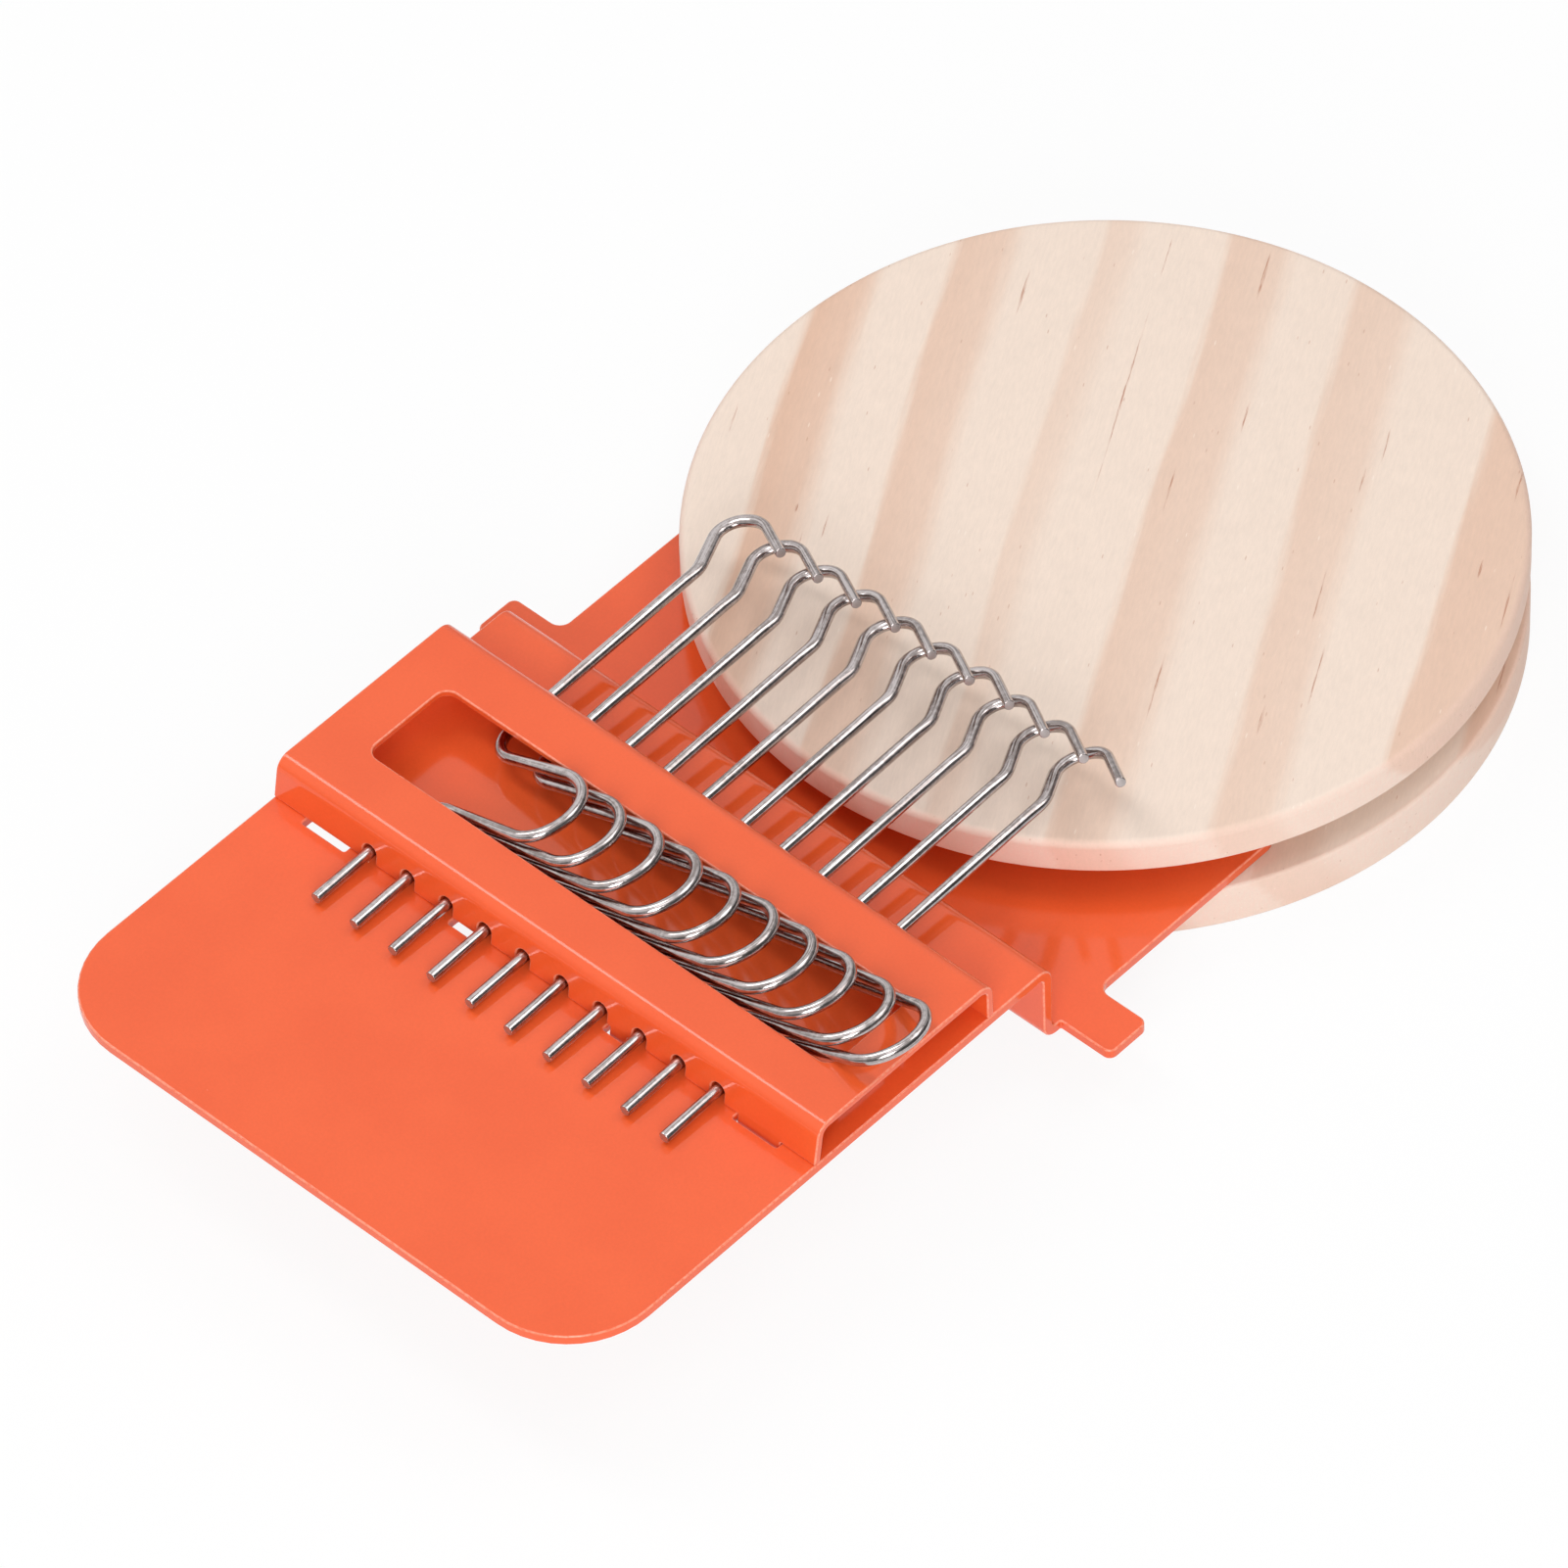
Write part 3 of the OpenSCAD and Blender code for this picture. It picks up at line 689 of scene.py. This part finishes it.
def hookBridge():
    # Outline in the flat: v runs from the foot of the front wall over the roof to the rear foot.
    # The two left slots at the front take no tab.
    sheet, r, quarter = bridge["thickness"], bridge["bendRadius"], math.pi / 2
    lean = math.atan(bridge["lean"] / bridge["height"])
    outerBend = r + sheet / 2
    bendZ = bridge["height"] - outerBend
    bendY = (outerBend + bendZ * math.sin(lean)) / math.cos(lean)
    foot = sheet / 2 / math.cos(lean)
    frontBend = quarter - lean
    wall = math.hypot(bendY - r * math.cos(lean) - foot, bendZ + r * math.sin(lean))
    roof = bridge["depth"] - outerBend - bendY
    roofStart = wall + r * frontBend
    rearBend = roofStart + roof
    whole = rearBend + r * quarter + bendZ
    frontRows = wall + np.linspace(0, r * frontBend, 9)
    rearRows = rearBend + np.linspace(0, r * quarter, 9)
    rows = np.concatenate([frontRows, rearRows])
    half = plate["width"] / 2

    archTop = loom["shankHeight"] + bridge["archHalf"]
    corner, root = edge["corner"], bridge["tabRoot"]
    notches = [(x, bridge["archHalf"], archTop, bridge["archHalf"] * 0.999, corner) for x in hookPlaces]
    tongues = [(x, width / 2, -bridge["tabLength"], corner, root) for x, width in bridge["tabs"]]
    frontCorners, frontRadii = [[-half, 0]], [corner]
    for x, wide, deep, radius, rootRadius in sorted(notches + tongues[2:]):
        frontCorners += [[x - wide, 0], [x - wide, deep], [x + wide, deep], [x + wide, 0]]
        frontRadii += [rootRadius, radius, radius, rootRadius]
    rearCorners, rearRadii = [[half, whole]], [corner]
    for x, wide, deep, radius, rootRadius in sorted(tongues, reverse=True):
        end = whole - deep
        rearCorners += [[x + wide, whole], [x + wide, end], [x - wide, end], [x - wide, whole]]
        rearRadii += [rootRadius, radius, radius, rootRadius]
    side = np.stack([np.full(len(rows), half), rows], 1)
    corners = np.concatenate([frontCorners, [[half, 0]], side,
                              rearCorners, [[-half, whole]], side[::-1] * [-1, 1]])
    radii = np.concatenate([frontRadii, [corner], np.zeros(len(rows)),
                            rearRadii, [corner], np.zeros(len(rows))])
    loops = [roundCorners(corners, radii, 9)]

    (x0, x1), (y0, y1) = bridge["windowX"], bridge["windowY"]
    y0, y1 = y0 - bendY + roofStart, y1 - bendY + roofStart
    loops.append(roundCorners([[x0, y0], [x0, y1], [x1, y1], [x1, y0]], bridge["windowCorner"], 9))
    rise = math.tan(math.radians(loom["shankSlope"])) * (bridge["depth"] - sheet / 2)
    circle = np.linspace(0, -2 * math.pi, 25)[:-1]
    z = loom["shankHeight"] + rise
    for x in hookPlaces:
        loops.append(np.stack([x + bridge["shankHole"] * np.cos(circle),
                               whole - z + bridge["shankHole"] * np.sin(circle)], 1))
    tab = bridge["tabLength"]
    start = (foot - tab * math.sin(lean), -tab * math.cos(lean))
    section = [(wall + tab, r, -frontBend), (roof, r, -quarter), (bendZ + 2 * tab, 0, 0)]
    return sheetPiece("coated_bridge", sheet, loops, rows, section, start, frontBend, orangeCoat)


coatedBridge = hookBridge()
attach(coatedBridge, "hook_frame")
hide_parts("hook_bridge")
print("loom: the bridge is bent")


# The wire hooks

# The hooks were bent by hand, so a size runs from its first value at the first hook to its
# second one at the last.
hookShape = {
    "tail": (7.2, 7.2),
    "crankFront": (8.4, 8.33),
    "frontRadius": (3.2, 4.2),
    "frontTurn": (63.5, 59.4),  # degrees of the crank's round end that have the front radius
    "endStraight": (0.3, 0.15),  # between the two arcs of that round end
    "rearRadius": (4.85, 4.3),
    "crankReach": (15.55, 15.4),
    "crankBend": (3.0, 2.25),
    "crankSlant": (5.0, -3.8),  # degrees
    "hookStart": (45.75, 45.15),
    "kinkRadius": (3.3, 3.3),
    "kinkAngle": (26.4, 32.1),
    "kinkLength": (4.0, 3.3),
    "crookRadius": (2.45, 2.6),
    "crookTurn": (90.0, 80.0),  # degrees of the crook before its own short straight
    "crookStraight": (0.2, 0.4),
    "tipRadius": (3.2, 2.75),
    "tipDirection": (118.5, 121.7),
    "tipLength": (4.8, 5.3),
}
wire = {
    "sides": 28,
    "crookPress": 0.2,          # how much wider the pressed crook is in its own plane
    "pressEnd": 2.0,            # how far before the end of the last bend the press stops
    "pressRun": 1.6,
    "tipWidth": 0.9,            # share of the wire's width that is left at the tip
    "tipStart": 1.0,            # how far before the end of the last bend the wire is thinner
    "tipRun": 2.0,
    # What each hook reaches further than the evenly changing sizes say.
    "longer": [0.0, 0.0, 0.1, 0.3, 0.1, 0.1, 0.35, 0.0, 0.1, 0.1],
    "firstLean": 18.83,         # degrees
    "leanStep": 0.53,
    "lastLean": 26.37,
}


def wireSteps(number):
    # Straights and bends of one hook from its tail to its tip. The crank's round end is an arc of
    # the front radius, a short straight at the angle they share, and an arc of the rear radius.
    # Its front leg is as long as its reach leaves, and its rear leg comes back to the shank's axis.
    share = number / (loom["hookCount"] - 1)
    h = {key: first + (last - first) * share for key, (first, last) in hookShape.items()}
    slant, bend, turn = math.radians(h["crankSlant"]), h["crankBend"], math.radians(h["frontTurn"])
    front, rear, straight = h["frontRadius"], h["rearRadius"], h["endStraight"]
    frontTop = h["crankReach"] - rear - (front - rear) * math.sin(turn) - straight * math.cos(turn)
    rearCentre = np.array([
        h["crankFront"] + front - (front - rear) * math.cos(turn) + straight * math.sin(turn),
        h["crankReach"] - rear,
    ])
    legStart = rearCentre + rear * np.array([math.cos(slant), -math.sin(slant)])
    rearLeg = (legStart[1] - bend * (1 + math.sin(slant))) / math.cos(slant)
    crankRear = legStart[0] - rearLeg * math.sin(slant) + bend * math.cos(slant)
    kink = math.radians(h["kinkAngle"])
    return [
        (h["tail"] + h["crankFront"] - bend, bend, math.pi / 2),
        (frontTop - bend, front, -turn),
        (straight, rear, turn - math.pi - slant),
        (rearLeg, bend, math.pi / 2 + slant),
        (h["hookStart"] + wire["longer"][number] - crankRear, h["kinkRadius"], -kink),
        (h["kinkLength"], h["crookRadius"], math.radians(h["crookTurn"])),
        (h["crookStraight"], h["tipRadius"], kink + math.radians(h["tipDirection"] - h["crookTurn"])),
        (h["tipLength"], 0, 0),
    ]


def plateau(distance, start, end, run):
    # 1 between start and end, with smooth runs s (3 - 2 s) of s up to it and down from it.
    rise = np.clip(np.minimum(distance - start, end - distance) / run + 0.5, 0, 1)
    return rise * rise * (3 - 2 * rise)


def wireHook(number):
    # A circle carried along the bent path: place + r (cos a across + sin a out of the plane). The
    # press that bent it left an ellipse there, wider in the hook's plane and thinner across it.
    # The wire is a little thinner towards its tip. The ends are flat with a small round rim.
    x, lean = hookPlaces[number], math.radians(wire["firstLean"] + wire["leanStep"] * number)
    if number == loom["hookCount"] - 1:
        lean = math.radians(wire["lastLean"])
    slope = math.radians(loom["shankSlope"])
    onShank = np.array([0, math.cos(slope), math.sin(slope)])
    upShank = np.array([0, -math.sin(slope), math.cos(slope)])
    aside = math.cos(lean) * np.array([1, 0, 0]) + math.sin(lean) * upShank
    outOfPlane = np.cross(aside, onShank)

    steps = wireSteps(number)
    stations = pathStations(steps, 1.5, math.radians(6))
    r = loom["wireRadius"]
    rimDepth = np.array([0, 0.02, 0.05, 0.1])
    rimWidth = np.array([0.86, 0.94, 0.985, 1.0])
    rimTilt = np.radians([80, 52, 24, 0])
    middle = stations[(stations > 0.3) & (stations < stations[-1] - 0.3)]
    distance = np.concatenate([rimDepth, middle, stations[-1] - rimDepth[::-1]])
    width = np.concatenate([rimWidth, np.ones(len(middle)), rimWidth[::-1]]) * r
    tilt = np.concatenate([-rimTilt, np.zeros(len(middle)), rimTilt[::-1]])
    place, heading = followPath(steps, (-hookShape["tail"][0], 0), 0.0, distance)
    centre = bridgeFoot + [x, 0, loom["shankHeight"]] + place[:, :1] * onShank + place[:, 1:] * aside
    ahead = np.cos(heading)[:, None] * onShank + np.sin(heading)[:, None] * aside
    across = -np.sin(heading)[:, None] * onShank + np.cos(heading)[:, None] * aside
    angle = np.arange(wire["sides"]) / wire["sides"] * 2 * math.pi
    ends = np.cumsum([length + radius * abs(bend) for length, radius, bend in steps])
    pressStart, lastBend = ends[3] + steps[4][0], ends[-2]
    pressed = plateau(distance, pressStart, lastBend - wire["pressEnd"], wire["pressRun"])
    pressed = 1 + wire["crookPress"] * pressed
    pastTip = ends[-1] + 1.5 * wire["tipRun"]
    thinner = plateau(distance, lastBend - wire["tipStart"], pastTip, wire["tipRun"])
    width *= 1 - (1 - wire["tipWidth"]) * thinner
    wide, thin = pressed[:, None, None], 1 / np.sqrt(pressed)[:, None, None]
    cosine, sine = np.cos(angle)[None, :, None], np.sin(angle)[None, :, None]
    points = centre[:, None] + width[:, None, None] * (
        wide * cosine * across[:, None] + thin * sine * outOfPlane)
    around = thin * cosine * across[:, None] + wide * sine * outOfPlane
    around /= np.linalg.norm(around, axis=2, keepdims=True)
    normals = np.cos(tilt)[:, None, None] * around + np.sin(tilt)[:, None, None] * ahead[:, None]
    grain = np.stack(np.broadcast_arrays(np.cos(angle)[None], np.sin(angle)[None],
                                         distance[:, None] + 137.0 * number), -1)
    rows, sides = points.shape[:2]
    points = np.concatenate([points.reshape(-1, 3), centre[[0, -1]]])
    normals = np.concatenate([normals.reshape(-1, 3), [-ahead[0], ahead[-1]]])
    grain = np.concatenate([grain.reshape(-1, 3), [[0, 0, 0], [0, 0, 0]]])
    j = np.arange(sides)
    k = (j + 1) % sides
    last = (rows - 1) * sides
    fans = np.concatenate([np.stack([k, j, np.full(sides, rows * sides)], 1),
                           np.stack([last + j, last + k, np.full(sides, rows * sides + 1)], 1)])
    quads = gridQuads(rows, sides)
    piece = makePiece(f"wire_hook_{number + 1:02d}", points, normals, quads, fans, steelWire)
    piece.data.materials.append(steelEnd)
    finish = np.zeros(len(piece.data.polygons), np.int32)
    finish[len(quads):] = 1
    piece.data.polygons.foreach_set("material_index", finish)
    piece.data.attributes.new("wireGrain", "FLOAT_VECTOR", "POINT").data.foreach_set("vector", grain.ravel())
    return piece


for number in range(loom["hookCount"]):
    node = f"hook_{number + 1:02d}"
    piece = wireHook(number)
    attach(piece, node)
    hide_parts(node)
print("loom: ten hooks are bent")


# Camera, floor and light

view = {
    "azimuth": 44.0849,
    "elevation": 48.3715,
    "roll": -2.1176,
    "distance": 1386.18,        # millimetres, to the target
    "target": (0.552, -46.64, 15.5),
    "focalPixels": 14831.2,
    "imagePixels": 1601,
}


def placeCamera():
    # The back vector points from the target to the camera. Right and up are turned by the roll.
    a, e, roll = (math.radians(view[k]) for k in ("azimuth", "elevation", "roll"))
    back = Vector((math.sin(a) * math.cos(e), -math.cos(a) * math.cos(e), math.sin(e)))
    level = Vector((math.cos(a), math.sin(a), 0))
    upright = back.cross(level)
    right = math.cos(roll) * level + math.sin(roll) * upright
    up = back.cross(right)
    data = bpy.data.cameras.new("camera")
    data.sensor_width = 36.0
    data.lens = view["focalPixels"] / view["imagePixels"] * data.sensor_width
    data.clip_start, data.clip_end = 0.1, 10.0
    camera = bpy.data.objects.new("camera", data)
    place = (Vector(view["target"]) + back * view["distance"]) * millimetre
    turn = Matrix((right, up, back)).transposed().to_4x4()
    camera.matrix_world = Matrix.Translation(place) @ turn
    scene.collection.objects.link(camera)
    scene.camera = camera


lights = {
    "worldLight": 0.43,
    "mirroredLow": 0.12,        # brightness that gloss mirrors low on the right
    "aim": (0.0, -0.04, 0.01),
    "floorHalf": 3.0,           # metres
    "floorGlow": 0.9,           # share of plain white that the camera sees in the floor
    "lamps": {                  # place, width, height and power
        "key": ((-0.45, -0.12, 0.72), 0.20, 0.60, 1.9),
        "front": ((0.50, -0.66, 0.44), 0.45, 0.45, 4.3),
        "top": ((0.22, -0.30, 0.85), 0.40, 0.40, 0.5),
        "back": ((0.20, 0.36, 0.74), 0.50, 0.35, 1.3),
    },
}


def background(tree):
    # 1 on rays from the camera and on mirrored and clear ones, which all see the white studio.
    path = addNode(tree, "ShaderNodeLightPath").outputs
    seen = mathNode(tree, "MAXIMUM", path["Is Camera Ray"], path["Is Glossy Ray"])
    return mathNode(tree, "MAXIMUM", seen, path["Is Transmission Ray"])


def makeWorld():
    # White to the camera, an even light to the object, and for mirrored rays a white that fades
    # low on the right, where a small studio tent is open: the fade follows 1.2 z - 0.8 x.
    world = bpy.data.worlds.new("studio")
    world.use_nodes = True
    scene.world = world
    tree = world.node_tree
    direction = addNode(tree, "ShaderNodeTexCoord").outputs["Generated"]
    fade = vectorNode(tree, "DOT_PRODUCT", direction, (-0.8, 0.0, 1.2))
    mirrored = smoothRange(tree, fade, 0.0, 1.2, lights["mirroredLow"], 1.0)
    camera = addNode(tree, "ShaderNodeLightPath").outputs["Is Camera Ray"]
    seen = mathNode(tree, "MAXIMUM", mirrored, camera)
    more = mathNode(tree, "SUBTRACT", seen, lights["worldLight"])
    extra = mathNode(tree, "MULTIPLY", background(tree), more)
    node = tree.nodes["Background"]
    node.inputs["Color"].default_value = (1, 1, 1, 1)
    tree.links.new(mathNode(tree, "ADD", extra, lights["worldLight"]), node.inputs["Strength"])


def areaLight(name, place, width, height, power):
    data = bpy.data.lights.new(name, "AREA")
    data.shape, data.size, data.size_y, data.energy = "RECTANGLE", width, height, power
    lamp = bpy.data.objects.new(name, data)
    turn = (Vector(place) - Vector(lights["aim"])).to_track_quat("Z", "Y").to_matrix().to_4x4()
    lamp.matrix_world = Matrix.Translation(Vector(place)) @ turn
    scene.collection.objects.link(lamp)


def makeFloor():
    # A wide pale sheet under the disc. The camera sees it mostly white, with a faint shadow.
    size = lights["floorHalf"]
    corners = [(-size, -size, 0), (size, -size, 0), (size, size, 0), (-size, size, 0)]
    mesh = bpy.data.meshes.new("studio_floor")
    mesh.from_pydata(corners, [], [(0, 1, 2, 3)])
    floor = bpy.data.objects.new("studio_floor", mesh)
    scene.collection.objects.link(floor)
    material, tree, shader = newMaterial("paleFloor")
    shader.inputs["Base Color"].default_value = (0.9, 0.9, 0.9, 1)
    shader.inputs["Roughness"].default_value = 0.9
    shader.inputs["Specular IOR Level"].default_value = 0.1
    glow = addNode(tree, "ShaderNodeEmission", {"Color": (1, 1, 1, 1), "Strength": 1.0})
    share = mathNode(tree, "MULTIPLY", background(tree), lights["floorGlow"])
    mixed = addNode(tree, "ShaderNodeMixShader", {0: share, 1: shader.outputs[0], 2: glow.outputs[0]})
    tree.links.new(mixed.outputs[0], tree.nodes["Material Output"].inputs[0])
    mesh.materials.append(material)


placeCamera()
makeWorld()
for name, (place, width, height, power) in lights["lamps"].items():
    areaLight(name, place, width, height, power)
makeFloor()
print("loom: camera, floor and light are set")
